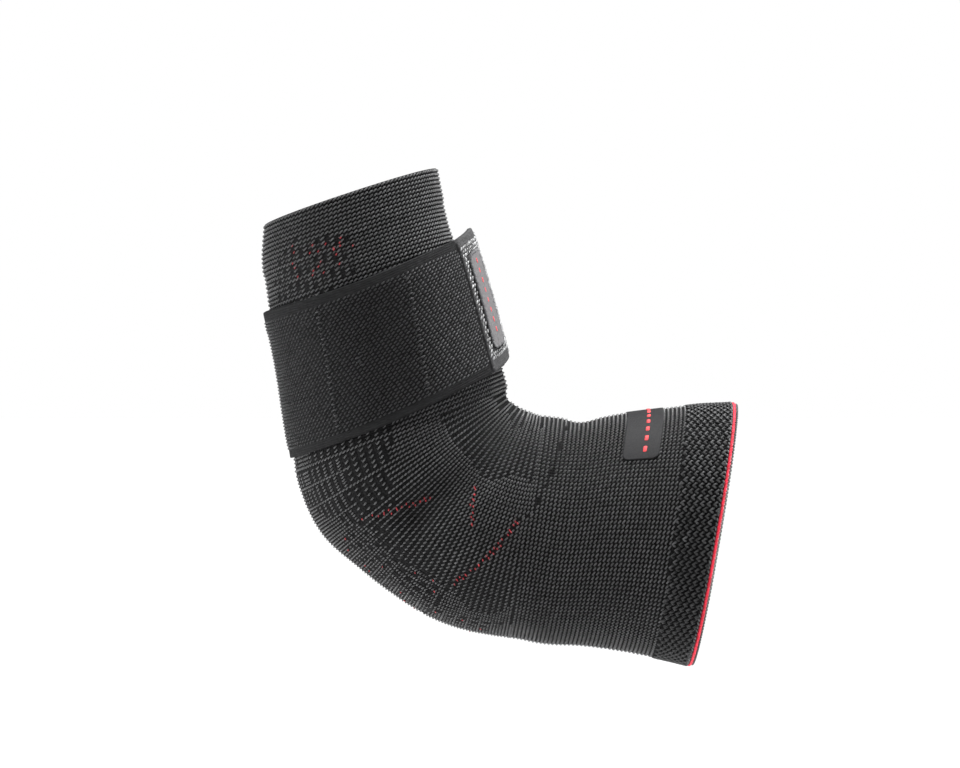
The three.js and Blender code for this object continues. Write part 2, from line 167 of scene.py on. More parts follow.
def distance_to_line(points, line):
    nearest = np.full(points.shape[:-1], np.inf)
    for start, end in zip(line[:-1], line[1:]):
        run = end - start
        share = np.clip(((points - start) @ run) / (run @ run), 0, 1)
        nearest = np.minimum(nearest, np.linalg.norm(points - start - share[..., None] * run, axis=-1))
    return nearest


def relief_table():
    """Heights of the folds and pads on a grid of 1 mm along the arm by 1 degree round it."""
    place, angle = np.meshgrid(np.arange(math.ceil(PATH_LENGTH) + 1.0), np.arange(-180, 181.0), indexing="ij")
    points = surface(place, angle)
    height = np.zeros(place.shape)
    for rise, reach, rows in RELIEFS:
        for side in (1, -1):
            line = [surface(place_on(row[0], row[1]), side * row[2]) for row in rows]
            height += rise * smoothstep(1 - distance_to_line(points, line) / (2 * reach), 0, 1)
    return height


RELIEF = relief_table()


def relief_at(place, angle):
    row = np.clip(place, 0, RELIEF.shape[0] - 1.001)
    column = (np.asarray(angle) + 180) % 360
    i, j = row.astype(int), column.astype(int)
    down, right = row - i, column - j
    upper = RELIEF[i, j] * (1 - right) + RELIEF[i, j + 1] * right
    lower = RELIEF[i + 1, j] * (1 - right) + RELIEF[i + 1, j + 1] * right
    cuff_end = CUFF_DEPTHS[0] + (CUFF_DEPTHS[1] - CUFF_DEPTHS[0]) * (1 - np.cos(np.radians(angle))) / 2
    cuff = CUFF_RISE * (1 - smoothstep(place, cuff_end - CUFF_RAMP / 2, cuff_end + CUFF_RAMP / 2))
    return upper * (1 - down) + lower * down + cuff


def skin(place, angle, height=0.0):
    place, angle, height = np.broadcast_arrays(*(np.asarray(v, float) for v in (place, angle, height)))
    return surface(place, angle, height + relief_at(place, angle))


# Meshes
def make_piece(name, vertices, faces, material, uvs=None, shade=None):
    """faces is a list of arrays, each of faces with the same number of corners."""
    mesh = bpy.data.meshes.new(name)
    corners = np.concatenate([group.ravel() for group in faces]).astype(np.int32)
    totals = np.concatenate([np.full(len(group), group.shape[1]) for group in faces]).astype(np.int32)
    starts = np.concatenate([[0], np.cumsum(totals)[:-1]]).astype(np.int32)
    mesh.vertices.add(len(vertices))
    mesh.vertices.foreach_set("co", (np.asarray(vertices) * MILLIMETRE).astype(np.float32).ravel())
    mesh.loops.add(len(corners))
    mesh.loops.foreach_set("vertex_index", corners)
    mesh.polygons.add(len(totals))
    mesh.polygons.foreach_set("loop_start", starts)
    mesh.polygons.foreach_set("loop_total", totals)
    mesh.polygons.foreach_set("use_smooth", np.full(len(totals), True))
    mesh.update(calc_edges=True)
    mesh.validate()
    if uvs is not None:
        layer = mesh.uv_layers.new(name="OFBake")
        layer.data.foreach_set("uv", np.asarray(uvs)[corners].astype(np.float32).ravel())
    if shade is not None:
        mesh.attributes.new("shade", "FLOAT", "POINT").data.foreach_set("value", shade.astype(np.float32))
    mesh.materials.append(material)
    piece = bpy.data.objects.new(name, mesh)
    bpy.context.scene.collection.objects.link(piece)
    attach(piece, "root")
    return piece


def grid_faces(rows, columns):
    """Quads of a grid of points."""
    i, j = np.meshgrid(np.arange(rows - 1), np.arange(columns - 1), indexing="ij")
    corner = i * columns + j
    return np.stack([corner, corner + columns, corner + columns + 1, corner + 1], axis=-1).reshape(-1, 4)


def ring_grid(profile, columns):
    """Faces of a closed ring: profile rows wrap round, and so do the columns."""
    i, j = np.meshgrid(np.arange(profile), np.arange(columns), indexing="ij")
    n, k = (i + 1) % profile, (j + 1) % columns
    return np.stack([i * columns + j, n * columns + j, n * columns + k, i * columns + k],
                    axis=-1).reshape(-1, 4)


def facing_out(vertices, faces):
    """Turns a closed shape's faces round where its volume comes out negative."""
    volume = 0.0
    for group in faces:
        first = vertices[group[:, 0]]
        for k in range(1, group.shape[1] - 1):
            cross = np.cross(vertices[group[:, k]], vertices[group[:, k + 1]])
            volume += np.einsum("ij,ij->", first, cross)
    return faces if volume > 0 else [group[:, ::-1] for group in faces]


def tubes(centres, radius, sides, mapping, flat=1.0):
    """Closed tubes. centres is (tubes, points, 3) in local millimetres (along, around, up); mapping turns
    local points of shape (tubes, points, sides, 3) into the frame and gives a flat place for each."""
    tangent = np.gradient(centres, axis=1)
    side = np.stack([-tangent[..., 1], tangent[..., 0], np.zeros(tangent.shape[:2])], axis=-1)
    side /= np.maximum(np.linalg.norm(side, axis=-1, keepdims=True), 1e-6)
    turn = np.pi / 2 + 2 * np.pi * np.arange(sides) / sides
    up = np.array([0.0, 0.0, flat])
    radius = np.broadcast_to(radius, centres.shape[:2])[..., None, None]
    ring = side[:, :, None, :] * np.cos(turn)[:, None] + up * np.sin(turn)[:, None]
    vertices, places = mapping(centres[:, :, None, :] + radius * ring)
    count, points = centres.shape[:2]
    i, j = np.meshgrid(np.arange(points - 1), np.arange(sides), indexing="ij")
    k = (j + 1) % sides
    body = np.stack([i * sides + j, i * sides + k, (i + 1) * sides + k, (i + 1) * sides + j],
                    axis=-1).reshape(-1, 4)
    first, last = np.arange(sides)[None, ::-1], (points - 1) * sides + np.arange(sides)[None]
    base = (np.arange(count) * points * sides)[:, None, None]
    faces = [(base + body).reshape(-1, 4), (base + np.vstack([first, last])).reshape(-1, sides)]
    vertices = vertices.reshape(-1, 3)
    probe = [body, np.vstack([first, last])]
    if facing_out(vertices[:points * sides] - vertices[:points * sides].mean(0), probe) is not probe:
        faces = [group[:, ::-1] for group in faces]
    return vertices, faces, places.reshape(-1, 2)


def unit(vector):
    return vector / np.linalg.norm(vector, axis=-1, keepdims=True)


# Scale of the sleeve's own lines: millimetres per millimetre of path and per degree of ring
def stretch_at(place, angle):
    along = np.linalg.norm(surface(place + 0.5, angle) - surface(place - 0.5, angle), axis=-1)
    around = np.linalg.norm(surface(place, angle + 0.5) - surface(place, angle - 0.5), axis=-1)
    return np.maximum(along, 0.05), around


def on_sleeve(place, angle, point=skin):
    """A mapping for tubes() round places on the sleeve."""
    along, around = (v[:, None, None] for v in stretch_at(place, angle))

    def mapping(local):
        at = place[:, None, None] + local[..., 0] / along
        ring = angle[:, None, None] + local[..., 1] / around
        return point(at, ring, local[..., 2]), np.stack([at / PATH_LENGTH, ring / 360 + 0.5], axis=-1)

    return mapping


def ring_run(place):
    """Ring angles at one section, and the way round it up to each."""
    fine = np.linspace(-180, 180, RING_SAMPLES)
    points = surface(place, fine)
    return fine, np.concatenate([[0], np.cumsum(np.linalg.norm(np.diff(points, axis=0), axis=1))])


def even_angles(place, count, shift=0.0):
    """Ring angles at equal distances round one section."""
    fine, run = ring_run(place)
    return np.interp(((np.arange(count) + 0.5 + shift) % count) / count * run[-1], run, fine)


# Materials
def fabric(name, dark, light, grain, roughness, sheen, bump=0.0, weave=None, weave_bump=0.0, shaded=False,
           wear=0.0, specular=0.35):
    """A procedural cloth or yarn: two tones by noise, patches of wear, roughness by a finer noise, and the
    bump of its fibres or of a weave. weave is the scale of crossed waves on the piece's own flat map."""
    material = bpy.data.materials.new(name)
    material.use_nodes = True
    nodes, links = material.node_tree.nodes, material.node_tree.links
    shader = nodes["Principled BSDF"]
    shader.inputs["Sheen Weight"].default_value = sheen
    shader.inputs["Sheen Roughness"].default_value = 0.4
    shader.inputs["Sheen Tint"].default_value = (0.9, 0.9, 0.92, 1)
    shader.inputs["Specular IOR Level"].default_value = specular
    place = nodes.new("ShaderNodeTexCoord").outputs["Object"]

    def noise(scale, detail=3.0):
        node = nodes.new("ShaderNodeTexNoise")
        node.inputs["Scale"].default_value = scale
        node.inputs["Detail"].default_value = detail
        links.new(place, node.inputs["Vector"])
        return node.outputs["Fac"]

    def ranged(value, low, high, start=0.3, end=0.7):
        node = nodes.new("ShaderNodeMapRange")
        node.inputs["From Min"].default_value = start
        node.inputs["From Max"].default_value = end
        node.inputs["To Min"].default_value = low
        node.inputs["To Max"].default_value = high
        links.new(value, node.inputs["Value"])
        return node.outputs["Result"]

    def calculated(operation, *values):
        node = nodes.new("ShaderNodeMath")
        node.operation = operation
        for socket, value in zip(node.inputs, values):
            if isinstance(value, float):
                socket.default_value = value
            else:
                links.new(value, socket)
        return node.outputs[0]

    mix = nodes.new("ShaderNodeMix")
    mix.data_type = "RGBA"
    mix.inputs["A"].default_value = (*dark, 1)
    mix.inputs["B"].default_value = (*light, 1)
    tone = ranged(noise(grain, 5.0), 0.0, 1.0)
    if shaded:
        attribute = nodes.new("ShaderNodeAttribute")
        attribute.attribute_name = "shade"
        tone = calculated("MULTIPLY_ADD", attribute.outputs["Fac"], 0.7, calculated("MULTIPLY", tone, 0.3))
    if wear:
        tone = calculated("MULTIPLY", tone, ranged(noise(38.0, 4.0), 1.0 - wear, 1.0))
    links.new(tone, mix.inputs["Factor"])
    links.new(mix.outputs["Result"], shader.inputs["Base Color"])
    links.new(ranged(noise(grain * 2.3), roughness - 0.08, min(roughness + 0.12, 1.0)),
              shader.inputs["Roughness"])
    height = noise(grain * 5) if bump else None
    strength = bump
    if weave:
        flat_map = nodes.new("ShaderNodeUVMap")
        flat_map.uv_map = "OFBake"
        waves = []
        for direction, scale in (("X", weave[0]), ("Y", weave[1])):
            wave = nodes.new("ShaderNodeTexWave")
            wave.bands_direction = direction
            wave.inputs["Scale"].default_value = scale
            wave.inputs["Distortion"].default_value = 0.6
            links.new(flat_map.outputs["UV"], wave.inputs["Vector"])
            waves.append(wave.outputs["Fac"])
        height, strength = calculated("MULTIPLY", *waves), weave_bump
    if height is not None:
        node = nodes.new("ShaderNodeBump")
        node.inputs["Strength"].default_value = strength
        node.inputs["Distance"].default_value = 0.0004
        links.new(height, node.inputs["Height"])
        links.new(node.outputs["Normal"], shader.inputs["Normal"])
    return material


knit_yarn = fabric("knit_yarn", (0.004, 0.004, 0.0042), (0.072, 0.073, 0.075), 900, 0.46, 0.06, shaded=True,
                   wear=0.25, specular=0.55)
cuff_yarn = fabric("cuff_yarn", (0.003, 0.003, 0.0032), (0.066, 0.067, 0.069), 900, 0.5, 0.02, shaded=True,
                   wear=0.25, specular=0.22)
knit_ground = fabric("knit_ground", (0.0015, 0.0015, 0.0016), (0.022, 0.022, 0.023), 500, 0.9, 0.0,
                     weave=(78, 150), weave_bump=0.9, specular=0.1, shaded=True)
red_yarn = fabric("red_yarn", (0.30, 0.003, 0.012), (0.75, 0.012, 0.045), 700, 0.6, 0.1, bump=0.4)
red_thread = fabric("red_thread", (0.16, 0.004, 0.008), (0.40, 0.015, 0.022), 700, 0.6, 0.1, bump=0.4)
black_yarn = fabric("black_yarn", (0.006, 0.006, 0.006), (0.03, 0.03, 0.032), 900, 0.6, 0.1, bump=0.3)
strap_ground = fabric("strap_ground", (0.003, 0.003, 0.0032), (0.009, 0.009, 0.0096), 500, 0.7, 0.0,
                      weave=(300, 40), weave_bump=0.8, specular=0.1)
strap_loops = fabric("strap_loops", (0.0015, 0.0015, 0.0016), (0.055, 0.056, 0.059), 900, 0.36, 0.02,
                     shaded=True, wear=0.3, specular=0.3)
tab_cloth = fabric("tab_cloth", (0.007, 0.007, 0.0075), (0.028, 0.028, 0.030), 700, 0.7, 0.02,
                   weave=(120, 90), weave_bump=0.6)
# The tab's loops get a light tone, partly their own and partly a painted highlight of the side light on them.
tab_loops = fabric("tab_loops", (0.003, 0.003, 0.003), (0.30, 0.305, 0.31), 900, 0.38, 0.05, shaded=True,
                   specular=0.8)
plate_grey = fabric("plate_grey", (0.055, 0.053, 0.055), (0.095, 0.092, 0.095), 900, 0.7, 0.02, bump=0.5,
                    wear=0.3)
rim_grey = fabric("rim_grey", (0.008, 0.008, 0.009), (0.11, 0.11, 0.115), 900, 0.6, 0.02, shaded=True)
plate_black = fabric("plate_black", (0.004, 0.004, 0.0045), (0.013, 0.013, 0.014), 1400, 0.6, 0.0, bump=0.35,
                     wear=0.3, specular=0.12)
dash_red = fabric("dash_red", (0.42, 0.02, 0.025), (0.68, 0.05, 0.055), 1500, 0.6, 0.05, bump=0.5, wear=0.4)

# Sleeve: the dark cloth under the stitches, with its inner face
GROUND_SINK = 0.25
GROUND_COLUMNS, OUTER_ROWS, INNER_ROWS = 240, 220, 100
GROUND_END = SLEEVE_LENGTH + 0.2
random = np.random.default_rng(7)


def sleeve_ground():
    outer = np.linspace(0, GROUND_END, OUTER_ROWS)
    inner = np.linspace(GROUND_END, 0, INNER_ROWS)
    place = np.concatenate([outer, inner])[:, None]
    height = np.concatenate([np.full(OUTER_ROWS, -GROUND_SINK), np.full(INNER_ROWS, -SLEEVE_WALL)])[:, None]
    angle = np.linspace(-180, 180, GROUND_COLUMNS, endpoint=False)[None]
    vertices = skin(place, angle, height).reshape(-1, 3)
    faces = facing_out(vertices, [ring_grid(OUTER_ROWS + INNER_ROWS, GROUND_COLUMNS)])
    run = np.concatenate([outer / PATH_LENGTH * 0.5, 0.5 + (GROUND_END - inner) / PATH_LENGTH * 0.5])
    uvs = np.stack(np.broadcast_arrays(angle / 360 + 0.5, run[:, None]), axis=-1).reshape(-1, 2)
    shade = np.repeat([0.0, 1.0], [OUTER_ROWS * GROUND_COLUMNS, INNER_ROWS * GROUND_COLUMNS])
    return make_piece("sleeve_ground", vertices, faces, knit_ground, uvs=uvs, shade=shade)


ground = sleeve_ground()
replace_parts(ground, "knit_sleeve")

# Zones of the knit, as corners of place along the arm and ring angle
FOREARM_SLOTS = [(9.5, 132.5), (16, 92), (31.6, 90), (40, 118), (40, 148), (24, 148)]
ELBOW_RIBS = [(86, 137), (86, 107.5), (97.8, 90.2), (122.7, 107.2), (120.2, 128), (110.9, 152)]
ELBOW_SLOTS = [(116.8, 133.8), (120.2, 122.2), (151.8, 127), (149.3, 147.5), (171.2, 142.5), (162.4, 172.5),
               (128, 172)]
ELBOW_POINT_RIBS = [(92, 162), (108.4, 147.5), (113, 181), (94, 181)]
MITRE = [("upper", 0.13, 0), ("upper", 0.112, 25.5), ("upper", 0.07, 59.2), ("upper", 0.007, 81.5),
         ("bend", 0.932, 85.2), ("bend", 0.712, 127), ("bend", 0.66, 180)]


def inside(zone, place, angle):
    """Which places lie in a zone of the outer or the other side."""
    angle = np.abs(angle)
    within = np.zeros(np.broadcast(place, angle).shape, bool)
    for (p, a), (q, b) in zip(zone, zone[1:] + zone[:1]):
        crosses = (p > place) != (q > place)
        share = np.where(crosses, (place - p) / (q - p if q != p else 1), 0)
        within ^= crosses & (angle < a + share * (b - a))
    return within


def mitre_place(angle):
    return np.interp(np.abs(angle), [row[2] for row in MITRE], [place_on(row[0], row[1]) for row in MITRE])


# Knit: one closed tube a stitch, a thick leg and a thin one, on courses that run round the arm
COURSE = 1.72
FINE_COURSE = COURSE / 2
INNER_COURSE = 2.1
BADGE_PLACE = PATH_LENGTH - SLEEVE_BADGE["from_hem"]
_, BADGE_PER_DEGREE = stretch_at(np.float64(BADGE_PLACE), np.float64(SLEEVE_BADGE["angle"]))


def under_badge(place, angle):
    run = (angle - SLEEVE_BADGE["angle"]) * BADGE_PER_DEGREE
    return ((np.abs(place - BADGE_PLACE) < SLEEVE_BADGE["width"] / 2 - 0.2)
            & (np.abs(run) < SLEEVE_BADGE["length"] / 2 - 0.2))


def strap_shift(angle):
    """How far the strap lies from its plain place, towards the elbow's end."""
    turn = np.radians(angle)
    return STRAP_BOW * np.sin(turn) ** 2 + STRAP_SLANT * (1 - np.cos(turn)) / 2


def under_strap(place, angle):
    start = STRAP_OFFSET + strap_shift(angle)
    return (place > start - 0.5) & (place < start + STRAP_WIDTH + 0.5)


# How far a stitch's legs reach along the arm, round it as shares of a stitch, and up; and their radius
LEG_ALONG = np.array([-0.46, -0.22, 0.22, 0.46, -0.36])
LEG_AROUND = np.array([-0.43, -0.20, 0.20, 0.41, 0.64])
LEG_UP = np.array([-0.30, 0.02, 0.02, -0.22, -0.36])
LEG_RADIUS, LEG_SIDES = np.array([0.22, 0.39, 0.39, 0.26, 0.16]), 3
STRAP_PRESS, SLOT_DEPTH, JITTER = 0.2, 0.22, 0.035


def stitches(name, from_place, to_place, count, keep=None):
    """Stitches between two places. Where the bend crowds the courses, only every second, fourth or
    eighth is kept, so that they stay about a stitch apart. The legs turn over along the bend."""
    places, angles, sunken, crowds, sizes = [], [], [], [], []
    for row, place in enumerate(np.arange(from_place + FINE_COURSE / 2, to_place, FINE_COURSE)):
        ring = even_angles(place, count)
        along, around = stretch_at(np.full(count, place), ring)
        level = 2 ** np.clip(np.round(np.log2(COURSE / (FINE_COURSE * along))), 0, 5).astype(int)
        kept = row % level == 0
        if keep:
            kept &= keep(place, ring)
        column = np.arange(count)
        course = row // level
        slot = inside(FOREARM_SLOTS, place, ring) | inside(ELBOW_SLOTS, place, ring)
        rib = inside(ELBOW_RIBS, place, ring) | inside(ELBOW_POINT_RIBS, place, ring)
        sunk = slot & ((column + course // 4) % 2 == 0) & (course % 4 != 3)
        kept &= ~(sunk & ((course + column // 2) % 4 < 2))
        kept &= ~(rib & (column % 2 == 0) & (course % 6 != 0))
        places.append(np.full(kept.sum(), place))
        angles.append(ring[kept])
        sunken.append(sunk[kept])
        crowds.append((FINE_COURSE * along * level / COURSE)[kept])
        sizes.append(np.gradient(np.unwrap(ring, period=360))[kept] * around[kept])
    place, angle, sunk, crowd, size = (np.concatenate(part)
                                       for part in (places, angles, sunken, crowds, sizes))
    number = len(place)
    bent = np.clip((place - FOREARM_RUN) / BEND_RUN, 0, 1)
    a = LEG_ALONG * (np.clip(crowd, 0.75, 1.25) * np.clip(1 - 3.1 * bent, -0.95, 1))[:, None]
    b = LEG_AROUND * (size * (1 - 0.15 * bent))[:, None]
    h = LEG_UP - (STRAP_PRESS * under_strap(place, angle) + SLOT_DEPTH * sunk)[:, None]
    jitter = random.normal(0, JITTER, (3, number, 1))
    centres = np.stack([a + jitter[0], b + jitter[1], h + jitter[2]], axis=-1)
    vertices, faces, flat = tubes(centres, LEG_RADIUS, LEG_SIDES, on_sleeve(place, angle), flat=0.8)
    # Painted shade in the creases: beads in the folds' valleys are darkened, down to 0.35 of their tone.
    crease_shade = np.clip(1 + relief_at(place, angle) / 3.5, 0.35, 1)
    # Painted shade in the recesses: the sunken beads in the slots are darkened as well as lowered. Otherwise
    # the tone differs at random.
    shade = np.clip(random.normal(0.47, 0.2, number) * (1 - 0.85 * sunk) * crease_shade, 0, 1)
    shade = np.repeat(shade, len(LEG_RADIUS) * LEG_SIDES)
    low, high = flat.min(0), flat.max(0)
    return make_piece(name, vertices, faces, knit_yarn, (flat - low) / (high - low), shade)


def hem_cuff_start(angle):
    return np.interp(np.abs(angle), (44, 150), (231.0, 235.2))


BEND_SPLIT = FOREARM_RUN + 0.36 * BEND_RUN
stitches("knit_forearm", 0.3, STRAP_OFFSET + 9, 122)
stitches("knit_elbow", STRAP_OFFSET + STRAP_WIDTH - 3, BEND_SPLIT, 150)
stitches("knit_bend", BEND_SPLIT, FOREARM_RUN + BEND_RUN + 12, 154,
         lambda place, angle: place < mitre_place(angle) - 0.4)
stitches("knit_upper", FOREARM_RUN + 0.6 * BEND_RUN, 236.5, 156,
         lambda place, angle: (place > mitre_place(angle) + 0.4) & ~under_badge(place, angle)
         & (place < hem_cuff_start(angle)))


# Hem: rows of chunky bent beads before the edge, in a brick layout
def beads(name, place, angle, path, radius, sides, material, shades=(0.5, 0.2)):
    """One closed tube a place, along path: rows of along, around and up in millimetres."""
    number = len(place)
    centres = np.tile(np.array(path)[None], (number, 1, 1)) + random.normal(0, 0.04, (number, 1, 3))
    vertices, faces, places = tubes(centres, np.array(radius), sides, on_sleeve(place, angle), flat=0.85)
    shade = np.repeat(np.clip(random.normal(*shades, number), 0, 1), len(path) * sides)
    low, high = places.min(0), places.max(0)
    return make_piece(name, vertices, faces, material, (places - low) / (high - low), shade)


def hem_cuff():
    """Darker from the arm's outer side on towards the elbow's side, the cuff's lower side: painted shade."""
    step, columns = 2.7, 132
    places, angles = [], []
    for column, angle in enumerate(even_angles(242.0, columns)):
        first = hem_cuff_start(angle) + 0.6 + (step / 2 if column % 2 else 0)
        run = np.arange(first, SLEEVE_LENGTH - 0.2, step)
        places.append(run)
        angles.append(np.full(len(run), angle))
    path = [(0.95, -1.05, -0.4), (0.2, -0.75, 0.2), (-0.85, 0.1, 0.15), (0.1, 0.8, 0.2), (0.8, 1.1, -0.45)]
    place, angle = np.concatenate(places), np.concatenate(angles)
    # Painted shade: the tone falls towards the lower side of the cuff.
    shade = 0.26 - 0.4 * smoothstep(np.abs(angle), 70, 115)
    return beads("hem_cuff", place, angle, path, (0.3, 0.52, 0.5, 0.55, 0.3), 5, cuff_yarn,
                 shades=(shade, 0.2))


def hem_cast_off():
    """The last course, close to the red edge."""
    angle = even_angles(SLEEVE_LENGTH - 0.4, 170)
    path = [(-0.5, -0.7, -0.2), (-0.1, -0.3, 0.1), (0.15, 0.35, 0.1), (0.4, 0.8, -0.2)]
    return beads("hem_cast_off", np.full(len(angle), SLEEVE_LENGTH - 0.25), angle, path,
                 (0.25, 0.4, 0.4, 0.25), 5, knit_yarn, shades=(0.3, 0.2))


def inner_knit(name, from_place, to_place, count):
    """The stitches' backs, as far as they show through a mouth."""
    places, angles = [], []
    for row, place in enumerate(np.arange(from_place, to_place, INNER_COURSE)):
        ring = even_angles(place, count, 0.5 * (row % 2))
        places.append(np.full(count, place))
        angles.append(ring)
    level = -SLEEVE_WALL
    path = [(0.5, -0.9, level + 0.25), (-0.35, 0.0, level - 0.12), (0.5, 0.9, level + 0.25)]
    return beads(name, np.concatenate(places), np.concatenate(angles), path, (0.3, 0.42, 0.3), 3, knit_yarn,
                 shades=(0.3, 0.15))


hem_cuff()
hem_cast_off()
inner_knit("inner_knit_forearm", 1.0, 62.0, 104)
inner_knit("inner_knit_upper", PATH_LENGTH - 66, SLEEVE_LENGTH - 0.6, 140)


# Hem threads: a red two-ply chain, and black picot loops outside it
hem_angles, hem_run = ring_run(PATH_LENGTH)
hem_girth = hem_run[-1]
EVEN_TURNS = np.linspace(0, 1, RING_SAMPLES)
EVEN_RING = np.interp(np.linspace(0, hem_girth, RING_SAMPLES), hem_run, hem_angles)
RED_MIDDLE = SLEEVE_LENGTH + LAYER_GAP + RED_THREAD / 2
PICOT_START = SLEEVE_LENGTH + 2 * LAYER_GAP + RED_THREAD
PLY_TWIST, PLY_SPREAD, PLY_RADIUS, PLY_RISE, CORE_RADIUS, PICOT_RADIUS = 2.6, 0.3, 0.34, 0.75, 0.62, 0.33


def ring_tube(place_at, height_at, turns, radius, sides):
    """A closed ring of tube round the hem; place_at and height_at take the turn round the ring."""
    turn = np.linspace(0, 1, turns, endpoint=False)
    angle = np.interp(turn, EVEN_TURNS, EVEN_RING)
    centre = surface(place_at(turn), angle, height_at(turn))
    along = unit(np.roll(centre, -1, 0) - np.roll(centre, 1, 0))
    out = surface(place_at(turn), angle, height_at(turn) + 1) - centre
    side = unit(np.cross(along, out))
    up = np.cross(side, along)
    phase = 2 * np.pi * np.arange(sides)[:, None] / sides
    ring = side[:, None] * np.cos(phase) + up[:, None] * np.sin(phase)
    vertices = (centre[:, None] + radius * ring).reshape(-1, 3)
    return vertices, facing_out(vertices, [ring_grid(turns, sides)])


def red_chain():
    """Two plies twisted round each other, over a plain core."""
    twists = round(hem_girth / PLY_TWIST)
    parts = [ring_tube(
        lambda t: RED_MIDDLE - 0.1 + PLY_SPREAD * np.cos(2 * np.pi * twists * t + half),
        lambda t: -SLEEVE_WALL / 2 + PLY_RISE + PLY_SPREAD * np.sin(2 * np.pi * twists * t + half),
        twists * 12, PLY_RADIUS, 7) for half in (0, np.pi)]
    parts.append(ring_tube(lambda t: RED_MIDDLE - 0.3 + 0 * t, lambda t: -SLEEVE_WALL / 2 + 0.1 + 0 * t,
                           240, CORE_RADIUS, 8))
    faces, base = [], 0
    for vertices, groups in parts:
        faces += [group + base for group in groups]
        base += len(vertices)
    return make_piece("hem_chain", np.vstack([part[0] for part in parts]), faces, red_yarn)


def picots():
    loops = round(hem_girth / 1.62)
    angle = np.interp(np.arange(loops) / loops, EVEN_TURNS, EVEN_RING)
    place = np.full(loops, PICOT_START)
    bend = np.linspace(0, np.pi, 7)
    centres = np.stack([np.tile(-1.3 + 1.5 * np.sin(bend), (loops, 1)),
                        np.tile(-0.62 * np.cos(bend), (loops, 1)),
                        np.tile(-SLEEVE_WALL / 2 + 0.2 + 0.2 * np.sin(bend), (loops, 1))], axis=-1)
    vertices, faces, _ = tubes(centres, PICOT_RADIUS, 5, on_sleeve(place, angle, surface))
    return make_piece("hem_picots", vertices, faces, black_yarn)


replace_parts(red_chain(), "red_edge")
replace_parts(picots(), "picot_edge")

# Red stitches: three lines over the elbow, and a few that show between the forearm's and the elbow's stitches
RED_LINES = [
    [("bend", 0.41, 94), ("bend", 0.277, 122.2)],
    [("bend", 0.932, 85.2), ("bend", 0.712, 127)],
    [("bend", 0.579, 77), ("bend", 0.689, 95.8)],
]
FOREARM_RED = [(13, 88), (13, 128), (28, 130), (28, 88)]
RED_FIELDS = [(FOREARM_RED, 22), (ELBOW_SLOTS, 16)]


def red_stitches():
    places, angles = [], []
    for rows in RED_LINES:
        start, end = (np.array([place_on(row[0], row[1]), row[2]]) for row in rows)
        length = np.linalg.norm(surface(*end) - surface(*start))
        shares = (np.arange(int(length / 2.3)) + 0.5) / int(length / 2.3)
        for share in shares:
            for offset in (-0.35, 0.45):
                place, angle = start + (end - start) * share + random.normal(0, 0.28, 2)
                if random.uniform() < 0.8:
                    places.append(place + offset)
                    angles.append(angle + offset * 0.6)
    for zone, number in RED_FIELDS:
        corners = np.array(zone)
        spots = random.uniform(corners.min(0), corners.max(0), (number * 4, 2))
        spots = spots[inside(zone, spots[:, 0], spots[:, 1])][:number]
        places += list(spots[:, 0])
        angles += list(spots[:, 1])
    place, angle = np.array(places * 2), np.array(angles + [-angle for angle in angles])
    path = [(-0.36, -0.34, 0.0), (-0.13, -0.15, 0.22), (0.13, 0.15, 0.22), (0.36, 0.34, 0.0)]
    return beads("red_stitches", place, angle, path, (0.12, 0.21, 0.21, 0.12), 5, red_thread)


red_stitches()

# Strap: one and a bit turns of webbing, lapped over its own start
LAP_HEIGHT = STRAP_THICKNESS + LAYER_GAP
PILE_ROOM = 0.35


def strap_height(turned):
    ramp_end = 360 - LAP_LEAD
    return LAYER_GAP + LAP_HEIGHT * smoothstep(turned, ramp_end - LAP_RAMP, ramp_end)


def strap_angle(turned, at):
    skew = STRAP_END_SKEW * smoothstep(turned, STRAP_TURN - STRAP_SKEW_REACH, STRAP_TURN)
    return STRAP_START - turned + skew * at / STRAP_WIDTH


def strap_place(angle, at, height):
    towards_elbow = (1 - np.cos(np.radians(angle))) / 2
    flare = STRAP_FLARE * towards_elbow * (1 - smoothstep(at, 0, STRAP_FLARE_REACH))
    return surface(STRAP_OFFSET + at + strap_shift(angle), angle, height + flare)


def strap_point(turned, at, height):
    return strap_place(strap_angle(turned, at), at, strap_height(turned) + height)


def strap_thickness(at):
    edge = np.minimum(at, STRAP_WIDTH - at)
    rise = smoothstep(edge, SELVEDGE_WIDTH, SELVEDGE_WIDTH + STRAP_THICKNESS)
    rounding = np.sqrt(np.clip(1 - (1 - np.clip(edge / 0.6, 0, 1)) ** 2, 0, 1))
    return (SELVEDGE_THICKNESS + (STRAP_THICKNESS - SELVEDGE_THICKNESS - PILE_ROOM) * rise) * rounding


def sheet_faces(rows, columns):
    """Faces of a closed sheet of two grids, the upper one first."""
    top = grid_faces(rows, columns)
    size = rows * columns
    i, j = np.arange(rows - 1), np.arange(columns - 1)
    first, end = i * columns, i * columns + columns - 1
    last = (rows - 1) * columns + j
    rim = [(first, first + size, first + columns + size, first + columns),
           (end, end + columns, end + columns + size, end + size),
           (j, j + 1, j + 1 + size, j + size),
           (last, last + size, last + 1 + size, last + 1)]
    return [np.vstack([top, top[:, ::-1] + size] + [np.stack(corners, axis=-1) for corners in rim])]


